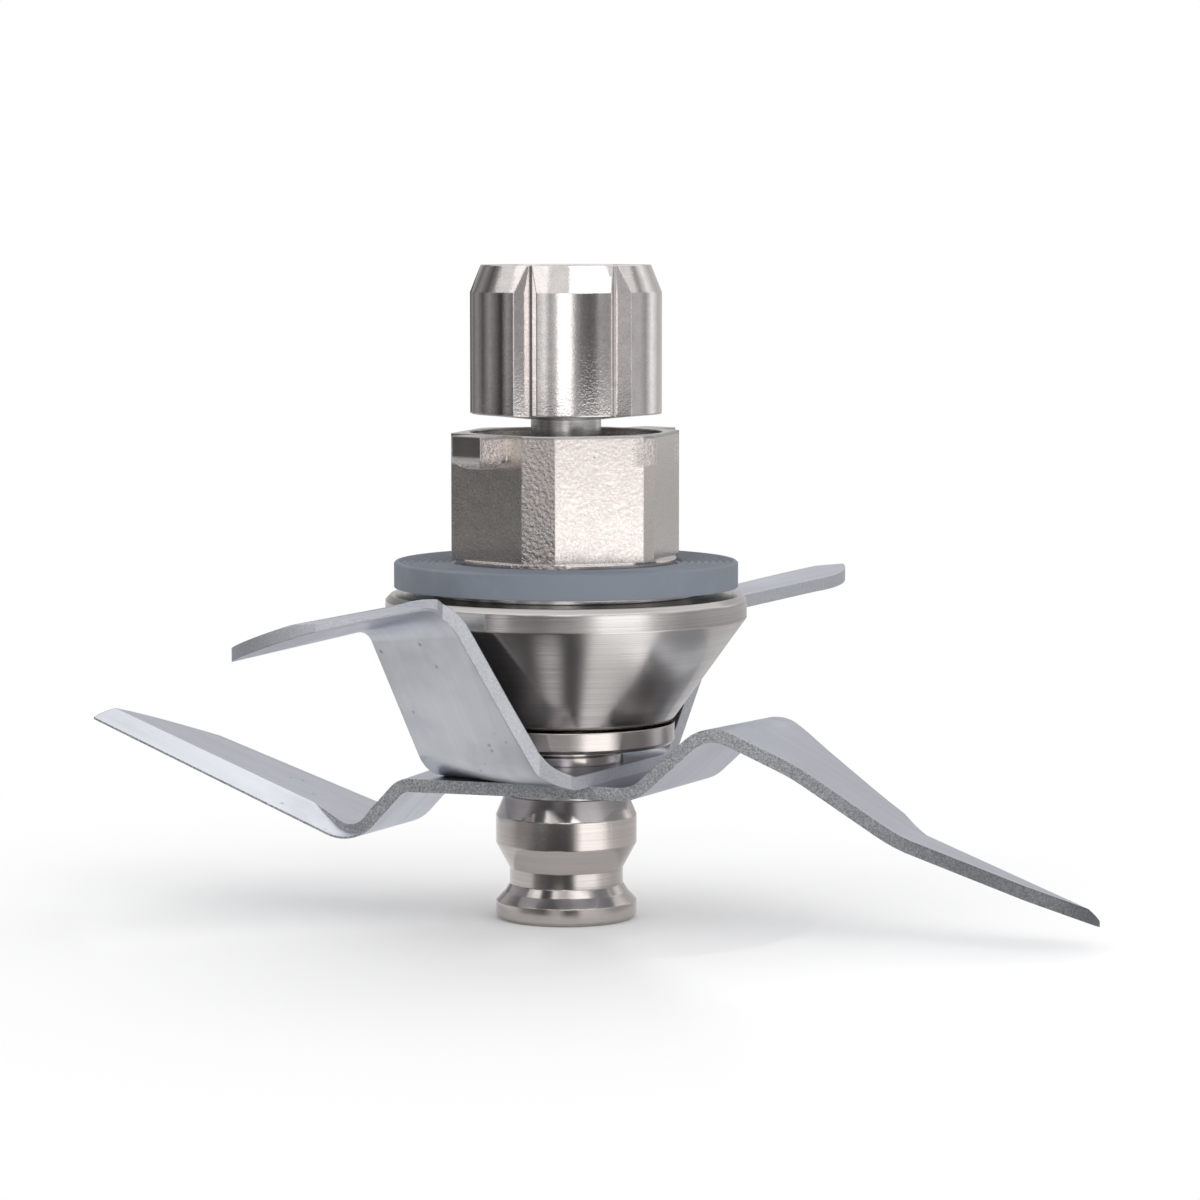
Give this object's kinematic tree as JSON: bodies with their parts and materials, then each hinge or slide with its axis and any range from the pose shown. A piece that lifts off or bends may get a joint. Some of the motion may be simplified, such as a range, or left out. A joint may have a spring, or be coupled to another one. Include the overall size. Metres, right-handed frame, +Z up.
{
  "type": "food processor blade unit",
  "caption": "Food processor blade: bent blade sheets on a spindle that turns in a cast bearing housing, with a lobed drive coupling on top and a turned blade knob below.",
  "frame": {"origin": "on the spindle's axis at the blade knob's foot, where the unit stands", "axes": "+Z up along the spindle towards the drive coupling; -Y is the side the picture was taken from; +X is to the right there"},
  "size_m": [0.1135, 0.0739, 0.0746],
  "materials": {
    "cast_steel": "stainless casting, grainy on the head, turned on the cone and flange",
    "turned_steel": "turned stainless steel",
    "polished_steel": "turned and polished stainless steel",
    "blade_steel": "satin stainless sheet with rougher sheared edges",
    "silicone": "matt blue-grey silicone",
    "seal_rubber": "black nitrile rubber",
    "spring_steel": "dark spring steel",
    "bearing_steel": "ground bearing steel",
    "cage_brass": "pressed brass cage"
  },
  "bodies": {
    "housing": {"bearing_housing": "cast_steel", "gasket": "silicone", "retaining_ring": "spring_steel", "outer_spacer": "turned_steel", "shaft_seal": "seal_rubber", "seal_spring": "spring_steel", "lower_outer_ring": "bearing_steel", "upper_outer_ring": "bearing_steel", "lower_shields": "spring_steel", "upper_shields": "spring_steel"},
    "spindle": {"spindle_shaft": "turned_steel", "drive_coupling": "polished_steel", "inner_spacer": "turned_steel", "shaft_clip": "spring_steel", "collar": "polished_steel", "collar_o_ring": "seal_rubber", "upper_blade": "blade_steel", "lower_blade": "blade_steel", "blade_washer": "turned_steel", "blade_knob": "polished_steel", "lower_inner_ring": "bearing_steel", "upper_inner_ring": "bearing_steel"},
    "lower_ball_set": {"lower_cage": "cage_brass", "lower_balls": "bearing_steel"},
    "upper_ball_set": {"upper_cage": "cage_brass", "upper_balls": "bearing_steel"}
  },
  "joints": [
    {"name": "blade_spin", "type": "hinge", "parent": "housing", "child": "spindle", "pos_m": [0, 0, 0.045], "axis": [0, 0, 1], "continuous": true},
    {"name": "lower_ball_turn", "type": "hinge", "parent": "housing", "child": "lower_ball_set", "pos_m": [0, 0, 0.0355], "axis": [0, 0, 1], "continuous": true},
    {"name": "upper_ball_turn", "type": "hinge", "parent": "housing", "child": "upper_ball_set", "pos_m": [0, 0, 0.0502], "axis": [0, 0, 1], "continuous": true}
  ],
  "couplings": [
    {"joint": "lower_ball_turn", "follows": "blade_spin", "ratio": 0.3667},
    {"joint": "upper_ball_turn", "follows": "blade_spin", "ratio": 0.3667}
  ]
}
